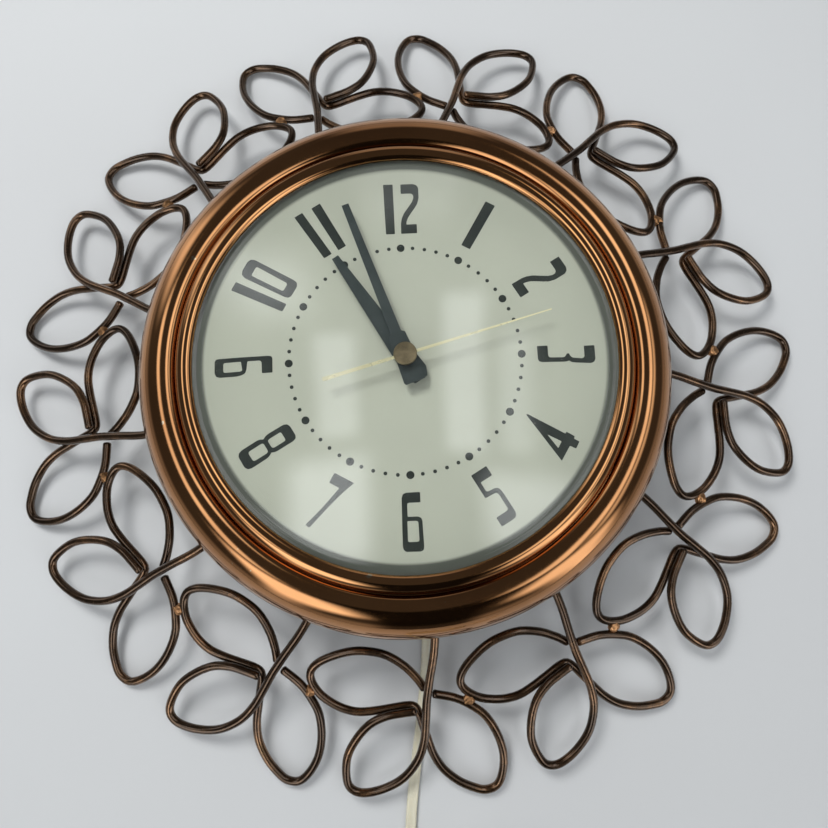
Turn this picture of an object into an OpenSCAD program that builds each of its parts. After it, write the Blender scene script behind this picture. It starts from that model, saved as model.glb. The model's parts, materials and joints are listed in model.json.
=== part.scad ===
// Sunburst wall clock: a round copper case with a domed glass, an electric
// movement behind the dial and a wreath of thirteen brazed wire sprigs.
// +Z points out of the dial, +Y to twelve o'clock, +X to three o'clock.
// The origin is on the hands' axis, in the plane of the back cover's rim.

/* [Case] */
// Largest radius of the copper case
case_r = 128; // [124:1:132]
// Height of the case's widest line above the back rim
case_waist_z = 46; // [44:1:48]
// Height of the case's crest
case_crest_z = 65; // [64:0.5:66]
// Radius of the groove between the case and the bezel ring
groove_r = 107; // [106:0.5:108]
// Radius of the bezel ring's inner lip
bezel_lip_r = 98.5; // [98:0.5:99]
// Thickness of the spun copper
case_wall = 1; // [0.8:0.1:1.2]
// Radius of the back cover
cover_r = 66; // [64:1:68]

/* [Dial and glass] */
// Height of the dial's face
dial_z = 62; // [60:0.5:63]
// Radius of the dial plate
dial_r = 99; // [97.5:0.5:100]
// Thickness of the dial plate
dial_t = 0.8; // [0.5:0.1:1]
// Radius of the glass
glass_r = 101; // [100:0.5:102]
// Height of the glass dome above its rim
glass_rise = 22; // [20:1:24]
// Thickness of the glass
glass_t = 2; // [1.6:0.1:2.5]

/* [Hands] */
// Reach of the hour hand
hour_reach = 58; // [50:1:60]
// Reach of the minute hand
minute_reach = 78; // [70:1:84]
// Reach of the second hand's thin end
second_reach = 70; // [60:1:80]
// Reach of the second hand's counterweight end
second_tail = 39; // [30:1:45]
// Reach of the tails of the hour and minute hands
hand_tail = 13; // [10:1:15]
// Clockwise angle of the hour hand from twelve
hour_angle = -32.2; // [-180:0.1:180]
// Clockwise angle of the minute hand from twelve
minute_angle = -18.9; // [-180:0.1:180]
// Clockwise angle of the second hand from twelve
second_angle = 74.9; // [-180:0.1:180]

/* [Wreath] */
// Number of sprigs round the case
sprig_count = 13; // [13]
// Diameter of the sprig wire
wire_d = 4.2; // [3.8:0.1:4.4]
// Drop of the wreath for each millimetre outwards
wreath_slope = 0.3; // [0.2:0.01:0.32]
// Anticlockwise angle of the first sprig from three o'clock
first_sprig_angle = -84; // [-90:0.5:-80]

/* [Movement] */
// Radius of the front movement plate
front_plate_r = 54; // [52:1:56]
// Radius of the sealed rotor can
rotor_can_r = 14; // [12:0.5:15]
// Clearance in radius round a turning arbor
bearing_gap = 0.05; // [0.03:0.01:0.08]

/* [Cord] */
// Width of the flat two-core cord
cord_w = 5.4; // [5:0.1:6]
// Thickness of the flat cord
cord_h = 2.8; // [2.5:0.1:3]

/* [Hidden] */
$fn = 96;
SPRIGS = [for (i = [1 : sprig_count]) str("leaf_sprig_", i < 10 ? "0" : "", i)];

// ---- levels, from the back rim forwards
web_z = 8;                       // back face of the cover's recessed wall
sheet = 1.2;                     // thickness of steel sheet and plates
rear_plate_z = 34.8;             // back face of the rear plate
rear_plate_top = rear_plate_z + sheet;
back_plate_z = 28;               // back face of the back movement plate
front_plate_z = 52;              // back face of the front movement plate
flange_z = dial_z - dial_t - case_wall;   // under the case's inner flange
stem_z = rear_plate_z - wire_d / 2 - 0.1; // stems where they pass the case
hoop_top = stem_z - wire_d / 2;
hoop_t = 2.2;
hoop_r = 116;
hoop_w = 8;

// ---- small helpers
// Points of an arc, as [r, z] pairs
function arc(c, rx, ry, a0, a1, n) =
    [for (i = [0 : n]) let (a = a0 + (a1 - a0) * i / n)
        [c[0] + rx * cos(a), c[1] + ry * sin(a)]];

module at_ring(r, angles, z) {
    for (a = angles) rotate([0, 0, a]) translate([r, 0, z]) children();
}

module tube(r_out, r_in, h) {
    rotate_extrude() translate([r_in, 0]) square([r_out - r_in, h]);
}

// A screw that enters from behind: head at z = 0 to head_h, then the shank
module rear_screw(head_r, head_h, shank_r, length) {
    difference() {
        cylinder(r = head_r, h = head_h);
        translate([-head_r, -0.4, -0.01]) cube([2 * head_r, 0.8, 0.81]);
    }
    translate([0, 0, head_h]) cylinder(r = shank_r, h = length);
}

// ---- curves: a smooth line through hand-set knots, and a tube along it
function knot(p, i) =
    i < 0 ? 2 * p[0] - p[1] :
    i >= len(p) ? 2 * p[len(p) - 1] - p[len(p) - 2] : p[i];
function between(a, b, c, d, t) = 0.5 * (2 * b + (c - a) * t
    + (2 * a - 5 * b + 4 * c - d) * t * t + (3 * b - a - 3 * c + d) * t * t * t);
function smooth_line(p, n) = concat(
    [for (i = [0 : len(p) - 2]) for (k = [0 : n - 1])
        between(knot(p, i - 1), p[i], p[i + 1], knot(p, i + 2), k / n)],
    [p[len(p) - 1]]);
function unit(v) = v / norm(v);
function heading(p, i) =
    unit(p[min(i + 1, len(p) - 1)] - p[max(i - 1, 0)]);

// Sweeps an oval of width w and height h along a mostly level line
module sweep(line, w, h, sides) {
    rings = [for (i = [0 : len(line) - 1])
        let (t = heading(line, i), n = unit(cross([0, 0, 1], t)), b = cross(t, n))
        for (k = [0 : sides - 1]) let (a = 90 + 360 * k / sides)
            line[i] + n * cos(a) * w / 2 + b * sin(a) * h / 2];
    last = (len(line) - 1) * sides;
    walls = [for (i = [0 : len(line) - 2]) for (k = [0 : sides - 1])
        let (j = (k + 1) % sides, q = i * sides)
        for (f = [[q + k, q + sides + k, q + j], [q + j, q + sides + k, q + sides + j]]) f];
    caps = [[for (k = [0 : sides - 1]) k],
        [for (k = [sides - 1 : -1 : 0]) last + k]];
    polyhedron(points = rings, faces = concat(walls, caps));
}

// ---- gears with involute flanks
pressure = 25;
function inv(a) = tan(a) * 180 / PI - a;
function flank_half_angle(r, rb, teeth, slack) =
    90 / teeth - slack + inv(pressure) - inv(acos(min(1, rb / r)));
module gear_outline(teeth, m, addendum, dedendum = 1.15) {
    rp = teeth * m / 2;
    rb = rp * cos(pressure);
    ra = rp + addendum * m;
    rf = rp - dedendum * m;
    slack = 0.07 * m / rp * 180 / PI;
    radii = rb > rf ? [rf, rb, rp, ra] : [rf, rp, ra];
    half = [for (r = radii) flank_half_angle(max(r, rb), rb, teeth, slack)];
    n = len(radii);
    polygon([for (i = [0 : teeth - 1]) for (k = [0 : 2 * n - 1])
        let (up = k < n, j = up ? k : 2 * n - 1 - k,
            a = 360 * i / teeth + (up ? -1 : 1) * half[j])
        radii[j] * [cos(a), sin(a)]]);
}
// A wheel with a tooth pointing along +X turned by phase, and a bore
module gear(teeth, m, addendum, z, t, bore, phase = 0) {
    translate([0, 0, z]) difference() {
        rotate([0, 0, phase]) linear_extrude(t) gear_outline(teeth, m, addendum);
        if (bore > 0) translate([0, 0, -1]) cylinder(r = bore, h = t + 2);
    }
}
// Phase that puts a gap of a wheel in the direction a
function gap_phase(teeth, a) = a + 180 / teeth;

// ---- gear sizes and arbor places
wheel_add = 0.7;
pinion_add = 0.85;
rotor_teeth = 10;
seconds_teeth = 36;
rotor_m = 0.8;
rotor_xy = [0, (rotor_teeth + seconds_teeth) * rotor_m / 2];
seconds_pinion_teeth = 8;
third_teeth = 64;
third_m = 0.6;
third_xy = [-(seconds_pinion_teeth + third_teeth) * third_m / 2, 0];
third_pinion_teeth = 8;
centre_teeth = 60;
centre_m = 2 * norm(third_xy) / (third_pinion_teeth + centre_teeth);
cannon_teeth = 12;
motion_teeth = 36;
motion_m = 0.7;
motion_xy = [(cannon_teeth + motion_teeth) * motion_m / 2, 0];
motion_pinion_teeth = 10;
hour_teeth = 40;
hour_m = 2 * norm(motion_xy) / (motion_pinion_teeth + hour_teeth);
set_teeth = 16;
set_xy = motion_xy + [(motion_teeth + set_teeth) * motion_m / 2, 0];

seconds_arbor_r = 1;
third_arbor_r = 1.2;
cannon_r = 2;
hour_pipe_r = 3.2;
motion_post_r = 1.2;
set_arbor_r = 1.5;

// ================= case, dial and glass
module case_shell() {
    crest_r = 113.5;
    side = case_r - crest_r;
    rise = case_crest_z - case_waist_z;
    foot_z = rear_plate_top;
    foot_r = case_r - 6;
    outer = concat(
        arc([crest_r, case_crest_z - 3], crest_r - groove_r - 0.4, 3, 180, 90, 6),
        arc([crest_r, case_waist_z], side, rise, 84, 0, 14),
        arc([case_r - 6, case_waist_z], 6, case_waist_z - foot_z, -15, -90, 5));
    inner = concat(
        arc([case_r - 6, case_waist_z], 6 - case_wall,
            case_waist_z - foot_z - case_wall, -90, -15, 5),
        arc([crest_r, case_waist_z], side - case_wall, rise - case_wall, 0, 84, 14),
        arc([crest_r, case_crest_z - 3], crest_r - groove_r - 0.4 - case_wall,
            3 - case_wall, 90, 180, 6));
    color("#9a5f35") difference() {
        rotate_extrude($fn = 128) polygon(concat(
            [[96, flange_z + case_wall]],
            [[groove_r + 0.4, flange_z + case_wall]], outer,
            [[112, foot_z], [112, foot_z + case_wall]], inner,
            [[groove_r + 0.4 + case_wall, flange_z], [96, flange_z]]));
        for (set = [[case_screw_r, case_screw_angles], [hoop_r, hoop_screw_angles]])
            at_ring(set[0], set[1], foot_z - 1)
                cylinder(r = screw_shank_r + bearing_gap, h = case_wall + 2);
    }
}

module bezel_ring() {
    crest_r = 102.3;
    crest_z = 66.6;
    seat_z = dial_z + glass_t + 0.1;
    foot_z = flange_z + case_wall;
    color("#a8683a") rotate_extrude($fn = 128) polygon(concat(
        [[bezel_lip_r, seat_z]],
        arc([crest_r, seat_z], crest_r - bezel_lip_r, crest_z - seat_z, 180, 90, 7),
        arc([crest_r, foot_z + 0.8], groove_r - crest_r, crest_z - foot_z - 0.8, 80, 0, 8),
        [[groove_r, foot_z], [glass_r + 0.3, foot_z], [glass_r + 0.3, seat_z]]));
}

function dome_r(rim, rise) = (rim * rim + rise * rise) / (2 * rise);
function dome(rim, rise, z, from, to, n) = let (big = dome_r(rim, rise))
    [for (i = [0 : n]) let (r = from + (to - from) * i / n)
        [r, z + rise - big + sqrt(big * big - r * r)]];
module glass_crystal() {
    rim_z = dial_z + 0.05;
    shoulder_r = 96;
    color([0.8, 0.88, 0.85, 0.35]) rotate_extrude($fn = 128) polygon(concat(
        dome(shoulder_r, glass_rise, rim_z + glass_t, 0, shoulder_r, 16),
        [[glass_r, rim_z + glass_t], [glass_r, rim_z]],
        dome(shoulder_r - 2, glass_rise - 0.2, rim_z, shoulder_r - 2, 0, 16)));
}

module dial_plate() {
    color("#d9d6c4") translate([0, 0, dial_z - dial_t]) difference() {
        cylinder(r = dial_r, h = dial_t, $fn = 128);
        translate([0, 0, -1]) cylinder(r = hour_pipe_r + 1, h = dial_t + 2);
    }
}

post_angles = [60, 180, 300];
module dial_posts() {
    z = front_plate_z + sheet;
    color("#b59a52") at_ring(46, post_angles, z) cylinder(r = 2.5, h = dial_z - dial_t - z);
}

// ================= rear structure
screw_shank_r = 2;
case_screw_r = 118;
// Screws sit half way between two stems
function between_stems(set) = [for (j = set) first_sprig_angle + 360 / sprig_count * (0.5 + j)];
case_screw_angles = between_stems([1, 4, 5, 8, 9, 12]);
hoop_screw_angles = between_stems([0, 3, 6, 10]);
cover_screw_r = 70;
cover_screw_angles = [45, 135, 225, 315];
chassis_post_r = 48.5;
chassis_post_angles = [0, 120, 240];

module rear_plate() {
    color("#8d9094") difference() {
        translate([0, 0, rear_plate_z]) tube(case_r - 6, 44, sheet);
        for (set = [[case_screw_r, case_screw_angles], [hoop_r, hoop_screw_angles],
            [cover_screw_r, cover_screw_angles]])
            at_ring(set[0], set[1], rear_plate_z - 1)
                cylinder(r = screw_shank_r + bearing_gap, h = sheet + 2);
    }
}

module case_screws() {
    head = 1.8;
    color("#c9ccd0") at_ring(case_screw_r, case_screw_angles, rear_plate_z - head)
        rear_screw(3.4, head, screw_shank_r, 5);
}

module wreath_hoop() {
    color("#5b4634") difference() {
        translate([0, 0, hoop_top - hoop_t])
            tube(hoop_r + hoop_w / 2, hoop_r - hoop_w / 2, hoop_t);
        at_ring(hoop_r, hoop_screw_angles, hoop_top - hoop_t - 1)
            cylinder(r = screw_shank_r + bearing_gap, h = hoop_t + 2);
    }
}

module hoop_spacers() {
    color("#b7babd") at_ring(hoop_r, hoop_screw_angles, hoop_top)
        tube(3.2, screw_shank_r + bearing_gap, rear_plate_z - hoop_top);
}

module hoop_screws() {
    head = 1.8;
    z = hoop_top - hoop_t - head;
    color("#c9ccd0") at_ring(hoop_r, hoop_screw_angles, z)
        rear_screw(3.4, head, screw_shank_r, rear_plate_top + 3 - z - head);
}

keyhole_y = 45;
keyhole_r = 4.5;
keyhole_slot = 4;
keyhole_reach = 9;
cord_exit = [6, -cover_r, 14];
module back_cover() {
    wall = 1;
    color("#3f4144") difference() {
        rotate_extrude() polygon([
            [cover_r, 0], [cover_r, rear_plate_z - wall],
            [cover_screw_r + 5, rear_plate_z - wall], [cover_screw_r + 5, rear_plate_z],
            [cover_r - wall, rear_plate_z], [cover_r - wall, web_z + sheet],
            [0, web_z + sheet], [0, web_z], [cover_r - wall, web_z],
            [cover_r - wall, 1], [cover_r - 4, 1], [cover_r - 4, 0]]);
        at_ring(cover_screw_r, cover_screw_angles, rear_plate_z - 3)
            cylinder(r = screw_shank_r + bearing_gap, h = 5);
        translate([0, keyhole_y, web_z - 1]) cylinder(r = keyhole_r, h = sheet + 2);
        translate([-keyhole_slot / 2, keyhole_y, web_z - 1])
            cube([keyhole_slot, keyhole_reach, sheet + 2]);
        translate([0, keyhole_y + keyhole_reach, web_z - 1])
            cylinder(r = keyhole_slot / 2, h = sheet + 2);
        translate([set_xy[0], set_xy[1], web_z - 1]) cylinder(r = 3, h = sheet + 2);
        translate([cord_exit[0], -cover_r - 4, cord_exit[2]]) rotate([-90, 0, 0])
            cylinder(r = 4.5, h = 8);
        // air slots over the coil
        for (i = [-2 : 2]) translate([i * 9 - 1.5, -40, web_z - 1])
            cube([3, 18, sheet + 2]);
    }
}

module cover_screws() {
    head = 1.8;
    color("#c9ccd0") at_ring(cover_screw_r, cover_screw_angles, rear_plate_z - 1 - head)
        rear_screw(3.2, head, screw_shank_r, 4.5);
}

// ================= wreath
// Knots in a sprig's own frame: across, clockwise from the sprig's radius,
// then outwards from the hands' axis
STEM = [[2.2, 112], [2.8, 120], [4, 129.5], [6, 138.5], [9, 148.3], [11.8, 158.3],
    [13.6, 168], [15.8, 178], [20.3, 187.3], [28.7, 195.2], [39.5, 199.2],
    [49.4, 199.6], [54.8, 196.2], [55.8, 189.8], [53.8, 180.8], [48.4, 173],
    [41, 166.7], [32.6, 163.8], [24.7, 163.3], [18.6, 163.3]];
LEAVES = [[12.5, 153.5], [15.5, 148], [21, 141], [29, 134.8], [38, 131.8], [46, 131],
    [55, 132.2], [62, 134.5], [66, 138], [66.3, 143], [63.5, 149], [59, 153.8],
    [53, 158], [46, 160.6], [38, 161.2], [30, 161], [22.5, 160.8], [18.3, 161.8],
    [16.6, 165.5], [15.6, 171], [14.2, 178], [12.3, 186.5], [8.5, 194.5], [2, 201.5],
    [-5, 206], [-11, 208.2], [-17, 206.5], [-20.5, 200], [-21.8, 191], [-20, 181],
    [-15.5, 171.5], [-9.5, 165.5], [-2, 160.5], [8, 157]];
// Each sprig was set by hand, so each is a little off its even place
SPRIG_TURN = [0.5, 0.2, 0.1, -0.1, -0.1, 0, 0, -0.35, -0.65, -0.9, -0.7, -0.2, 0.6];
layer = wire_d + 0.3;            // the leaf wire lies this far behind the stem wire
bead_at = [67.3, 147.4];
tack_at = [14.9, 175.4];

function wreath_z(p) = min(stem_z, 26.1 - wreath_slope * (norm(p) - 148));
function lifted(line, drop) = [for (p = line) [p[0], p[1], wreath_z(p) - drop]];
module on_sprig(i) {
    rotate([0, 0, first_sprig_angle - 90 - SPRIG_TURN[i] - 360 / sprig_count * i]) children();
}

module leaf_sprig(i) {
    sides = 6;
    color("#5a3d28") on_sprig(i) {
        sweep(lifted(smooth_line(STEM, 2), 0), wire_d, wire_d, sides);
        sweep(lifted(smooth_line(LEAVES, 2), layer), wire_d, wire_d, sides);
    }
}

module braze_beads() {
    color("#b0703a") for (i = [0 : sprig_count - 1]) on_sprig(i) {
        translate([bead_at[0], bead_at[1], wreath_z(bead_at) - layer]) sphere(r = 2.9, $fn = 24);
        translate([tack_at[0], tack_at[1], wreath_z(tack_at) - layer / 2]) sphere(r = 1.5, $fn = 24);
    }
}

// ================= movement
pillar_xy = [[32, 24], [-32, 24], [-32, -24], [32, -24]];
plate_size = [80, 66];
module arbor_hole(xy, r, z) {
    translate([xy[0], xy[1], z - 1]) cylinder(r = r + bearing_gap, h = sheet + 2, $fn = 48);
}

module front_movement_plate() {
    color("#c2a45c") difference() {
        translate([0, 0, front_plate_z]) cylinder(r = front_plate_r, h = sheet);
        arbor_hole([0, 0], cannon_r, front_plate_z);
        arbor_hole(third_xy, third_arbor_r, front_plate_z);
        arbor_hole(set_xy, set_arbor_r, front_plate_z);
        at_ring(47, [45 : 90 : 315], front_plate_z - 1) cylinder(r = 4, h = sheet + 2);
    }
}

module back_movement_plate() {
    color("#c2a45c") difference() {
        translate([0, 0, back_plate_z]) linear_extrude(sheet) difference() {
            square(plate_size, center = true);
            for (p = concat(pillar_xy, motor_screw_xy)) translate(p)
                circle(r = screw_shank_r + bearing_gap);
        }
        arbor_hole([0, 0], seconds_arbor_r, back_plate_z);
        arbor_hole(third_xy, third_arbor_r, back_plate_z);
        arbor_hole(set_xy, set_arbor_r, back_plate_z);
        arbor_hole(rotor_xy, 4, back_plate_z);
    }
}

module movement_pillars() {
    bottom = back_plate_z + sheet;
    color("#b59a52") for (p = pillar_xy) translate([p[0], p[1], bottom]) difference() {
        cylinder(r = 3.2, h = front_plate_z - bottom);
        translate([0, 0, -1]) cylinder(r = screw_shank_r + bearing_gap, h = 9);
    }
}

module movement_screws() {
    head = 1.6;
    color("#c9ccd0") for (p = pillar_xy) translate([p[0], p[1], back_plate_z - head])
        rear_screw(3.2, head, screw_shank_r, 8);
}

module chassis_posts() {
    color("#b7babd") at_ring(chassis_post_r, chassis_post_angles, rear_plate_top)
        cylinder(r = 3, h = front_plate_z - rear_plate_top);
}

core_z = 14.5;
core_t = 8;
limb_y = -29;
module stator_core() {
    w = 62;
    leg = 10;
    top = 37;
    color("#6c6f73") translate([0, 0, core_z]) difference() {
        translate([-w / 2, limb_y - leg / 2, 0]) cube([w, top - limb_y + leg / 2, core_t]);
        translate([-w / 2 + leg, limb_y + leg / 2, -1])
            cube([w - 2 * leg, 25, core_t + 2]);
        translate([rotor_xy[0], rotor_xy[1], -1]) cylinder(r = rotor_can_r + 0.3, h = core_t + 2);
        translate([-1, limb_y + leg / 2, -1]) cube([2, top - limb_y, core_t + 2]);
        for (p = motor_screw_xy) translate([p[0], p[1], -1])
            cylinder(r = screw_shank_r + bearing_gap, h = core_t + 2);
    }
}

motor_screw_xy = [[24, 27], [-24, 27], [-26, limb_y], [26, limb_y]];
module motor_spacers() {
    z = core_z + core_t;
    color("#b59a52") for (p = motor_screw_xy) translate([p[0], p[1], z])
        tube(3, screw_shank_r + bearing_gap, back_plate_z - z);
}

module motor_screws() {
    head = 1.6;
    color("#c9ccd0") for (p = motor_screw_xy) translate([p[0], p[1], core_z - head])
        rear_screw(3.2, head, screw_shank_r, back_plate_z + sheet + 1 - core_z);
}

module coil_bobbin() {
    color("#d8cfae") translate([0, limb_y, core_z + core_t / 2]) rotate([0, 90, 0]) difference() {
        union() {
            translate([0, 0, -18]) cylinder(r = 6.9, h = 36);
            for (z = [-18, 16.6]) translate([0, 0, z]) cylinder(r = 9, h = 1.4);
        }
        translate([-core_t / 2 - 0.1, -5.1, -20]) cube([core_t + 0.2, 10.2, 40]);
    }
}

module coil_winding() {
    color("#7a2f1e") translate([-16.5, limb_y, core_z + core_t / 2]) rotate([0, 90, 0])
        tube(8.8, 7, 33);
}

// Two insulated wires from the grommet to the ends of the winding
LEADS = [[[4.6, -63.5, 14], [4, -58, 14.4], [0, -51, 16.4], [-6, -44, 18.2], [-10, -37.9, 18.5]],
    [[7.4, -63.5, 14], [8, -58, 14.4], [9.4, -51, 16.4], [10.6, -44, 18.2], [11, -37.9, 18.5]]];
module coil_leads() {
    color("#cfc9b0") for (lead = LEADS) sweep(smooth_line(lead, 2), 1.8, 1.8, 6);
}

module rotor_can() {
    color("#c9a35a") translate([rotor_xy[0], rotor_xy[1], 0]) difference() {
        union() {
            translate([0, 0, 12]) cylinder(r = rotor_can_r, h = back_plate_z - 12);
            translate([0, 0, 20]) cylinder(r = 4, h = 9);
        }
        translate([0, 0, 22]) cylinder(r = 1.2 + bearing_gap, h = 10, $fn = 48);
    }
}

module rotor_pinion() {
    color("#d9c27a") translate([rotor_xy[0], rotor_xy[1], 0]) {
        gear(rotor_teeth, rotor_m, pinion_add, 30, 4, 0, -90);
        translate([0, 0, 22.5]) cylinder(r = 1.2, h = 7.5, $fn = 48);
    }
}

// Seconds arbor with its wheel and its pinion
seconds_top = 70.6;
module seconds_wheel() {
    color("#d0b060") {
        gear(seconds_teeth, rotor_m, wheel_add, 31, 1.5, 0.9, gap_phase(seconds_teeth, 90));
        gear(seconds_pinion_teeth, third_m, pinion_add, 38, 4, 0.9, 180);
        translate([0, 0, 27.5]) cylinder(r = seconds_arbor_r, h = seconds_top - 27.5, $fn = 48);
    }
}

module third_wheel() {
    color("#d0b060") translate([third_xy[0], third_xy[1], 0]) {
        gear(third_teeth, third_m, wheel_add, 39.5, 1.2, 0.9, gap_phase(third_teeth, 0));
        gear(third_pinion_teeth, centre_m, pinion_add, 44, 4, 0.9, 0);
        translate([0, 0, back_plate_z]) cylinder(r = third_arbor_r,
            h = front_plate_z + sheet - back_plate_z, $fn = 48);
    }
}

// Driven wheel that grips the cannon pinion through its slipping clutch
clutch_gap = 0.05;
module centre_wheel() {
    color("#d0b060") {
        gear(centre_teeth, centre_m, wheel_add, 45.4, 1.2, cannon_r + clutch_gap,
            gap_phase(centre_teeth, 180));
        translate([0, 0, 46.6]) tube(4, cannon_r + clutch_gap, 1.6);
    }
}

cannon_bottom = 44;
minute_z = 68;
module cannon_pinion() {
    bore = seconds_arbor_r + bearing_gap;
    color("#e0c070") difference() {
        union() {
            translate([0, 0, cannon_bottom])
                cylinder(r = cannon_r, h = minute_z + 0.6 - cannon_bottom, $fn = 48);
            gear(cannon_teeth, motion_m, pinion_add, 53.8, 2.4, 0, 0);
        }
        translate([0, 0, cannon_bottom - 1])
            cylinder(r = bore, h = minute_z + 4 - cannon_bottom, $fn = 48);
    }
}

module motion_wheel() {
    bore = motion_post_r + bearing_gap;
    color("#e0c070") translate([motion_xy[0], motion_xy[1], 0]) {
        gear(motion_teeth, motion_m, wheel_add, 54.2, 1.2, bore, gap_phase(motion_teeth, 180));
        gear(motion_pinion_teeth, hour_m, pinion_add, 55.4, 3.6, bore, 180);
    }
}

// Fixed stud on the front plate that carries the motion wheel
module motion_post() {
    base = front_plate_z + sheet;
    color("#c9ccd0") translate([motion_xy[0], motion_xy[1], base]) {
        cylinder(r = 2.4, h = 0.9);
        cylinder(r = motion_post_r, h = 6.9, $fn = 48);
        translate([0, 0, 6]) cylinder(r = 1.9, h = 0.9);
    }
}

hour_z = 65.8;
module hour_wheel() {
    bore = cannon_r + bearing_gap;
    color("#e0c070") {
        gear(hour_teeth, hour_m, wheel_add, 57, 1.2, bore, gap_phase(hour_teeth, 0));
        translate([0, 0, 58.2]) tube(hour_pipe_r, bore, hour_z + 0.6 - 58.2);
    }
}

module set_arbor() {
    color("#b9bcc0") translate([set_xy[0], set_xy[1], 0]) {
        gear(set_teeth, motion_m, pinion_add, 53.8, 2, 0, 0);
        translate([0, 0, 5]) cylinder(r = set_arbor_r, h = 48.8, $fn = 48);
    }
}

module set_knob() {
    ridges = 24;
    color("#2d2a28") translate([set_xy[0], set_xy[1], 1.5]) {
        linear_extrude(3.5) polygon([for (i = [0 : 2 * ridges - 1])
            let (a = 180 * i / ridges, r = i % 2 == 0 ? 9 : 8.5) [r * cos(a), r * sin(a)]]);
        difference() {
            translate([0, 0, 3]) cylinder(r = 4, h = 2.5);
            translate([0, 0, 3.5]) cylinder(r = set_arbor_r, h = 3, $fn = 48);
        }
    }
}

// ================= hands
hand_t = 0.6;
module hour_hand() {
    color("#333b3d") rotate([0, 0, -hour_angle]) translate([0, 0, hour_z]) difference() {
        union() {
            linear_extrude(hand_t) polygon([[-1.7, hour_reach], [1.7, hour_reach],
                [4.7, 4], [5.4, -9], [3.4, -hand_tail], [-3.4, -hand_tail],
                [-5.4, -9], [-4.7, 4]]);
            translate([0, 0, -1.2]) cylinder(r = 4.2, h = 1.5);
        }
        translate([0, 0, -2]) cylinder(r = hour_pipe_r, h = 4);
    }
}

module minute_hand() {
    color("#333b3d") rotate([0, 0, -minute_angle]) translate([0, 0, minute_z]) difference() {
        union() {
            translate([0, 0, -1.2]) cylinder(r = 3, h = 1.5);
            linear_extrude(hand_t) polygon([[-1.7, minute_reach], [1.7, minute_reach],
                [2.5, 11.6], [4, 10.6], [4.7, 0], [5.2, -hand_tail + 1], [4.6, -hand_tail],
                [-4.6, -hand_tail], [-5.2, -hand_tail + 1], [-4.7, 0], [-4, 10.6], [-2.5, 11.6]]);
        }
        translate([0, 0, -2]) cylinder(r = cannon_r, h = 4);
    }
}

second_z = 70.6;
hub_r = 5.3;
module second_hand() {
    color("#d9c27a") rotate([0, 0, -second_angle]) translate([0, 0, second_z])
        linear_extrude(0.4) polygon([[-0.25, second_reach], [0.25, second_reach],
            [0.7, hub_r], [0.7, -hub_r], [0.9, -second_tail], [-0.9, -second_tail],
            [-0.7, -hub_r], [-0.7, hub_r]]);
}

module second_hand_hub() {
    base = second_z + 0.4;
    color("#a58a5a") rotate_extrude() polygon([[0, base], [hub_r, base],
        [hub_r, base + 1.3], [hub_r - 0.5, base + 1.9], [0, base + 2.4]]);
}

// ================= cord and plug
cord_rest = cord_h / 2;
coil_at = [21.8, -276];
coil_r = 28.5;
coil_half_w = 5;
coil_foot = 0.6;
coil_h = 17.4;
// The route is set by hand: out of the cover, down to the surface, along it
CORD_ROUTE = [[6, -68, 14], [6, -78, 13.4], [6, -90, 10.4], [6, -102, 6], [5.8, -113, 2.8],
    [5.4, -124, cord_rest], [4.8, -137, cord_rest], [3.4, -151, cord_rest],
    [1.5, -165, cord_rest], [-0.9, -180, cord_rest], [-3.6, -196, cord_rest],
    [-6, -212, cord_rest], [-7.6, -228, cord_rest], [-8.9, -244, cord_rest + 0.2],
    [-9.8, -260, cord_rest + 1], [-10, -272, cord_rest + 1.7]];
TAIL_ROUTE = [[21.8, -307.8, 14], [32, -307.6, 13.4], [42, -307.2, 11.6],
    [52, -307, 9.4], [62, -307, 7.6], [70, -307, 7]];
plug_at = [70, -307, 7];

module cord_grommet() {
    color("#2d2a28") translate([cord_exit[0], -cover_r - 2, cord_exit[2]]) rotate([-90, 0, 0])
        difference() {
            union() {
                cylinder(r = 6, h = 1.5);
                translate([0, 0, 1.5]) cylinder(r = 4.4, h = 3);
            }
            translate([-cord_w / 2, -cord_h / 2, 0.6]) cube([cord_w, cord_h, 10]);
        }
}

module cord() {
    color("#e6dfc6") {
        sweep(smooth_line(CORD_ROUTE, 3), cord_w, cord_h, 8);
        sweep(smooth_line(TAIL_ROUTE, 3), cord_w, cord_h, 8);
    }
}

module cord_coil() {
    color("#e6dfc6") translate([coil_at[0], coil_at[1], coil_foot]) rotate_extrude() polygon([
        [coil_r - coil_half_w, 1], [coil_r - coil_half_w + 1, 0],
        [coil_r + coil_half_w - 1, 0], [coil_r + coil_half_w, 1],
        [coil_r + coil_half_w, coil_h - 1], [coil_r + coil_half_w - 1, coil_h],
        [coil_r - coil_half_w + 1, coil_h], [coil_r - coil_half_w, coil_h - 1]]);
}

module cord_tie() {
    gap = 0.1;
    t = 0.5;
    w = coil_half_w + gap;
    color("#3a3a3a") translate([coil_at[0] + coil_r, coil_at[1], 0]) rotate([90, 0, 0])
        translate([0, 0, -3]) linear_extrude(6) difference() {
            translate([-w - t, 0]) square([2 * (w + t), coil_foot + coil_h + gap + t]);
            translate([-w, t]) square([2 * w, coil_foot + coil_h + gap - t]);
        }
}

module plug_body() {
    color("#e2dac0") translate(plug_at) rotate([0, 90, 0]) linear_extrude(24) {
        square([13.6, 16], center = true);
        for (s = [-1, 1]) translate([0, s * 8]) circle(r = 6.8, $fn = 48);
    }
}

module plug_blades() {
    color("#c8b070") for (s = [-1, 1]) translate(plug_at + [24, s * 6.35, 0])
        translate([0, -0.75, -3.2]) difference() {
            cube([17, 1.5, 6.4]);
            translate([13.5, -1, 3.2]) rotate([-90, 0, 0]) cylinder(r = 1.6, h = 4, $fn = 32);
        }
}

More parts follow.
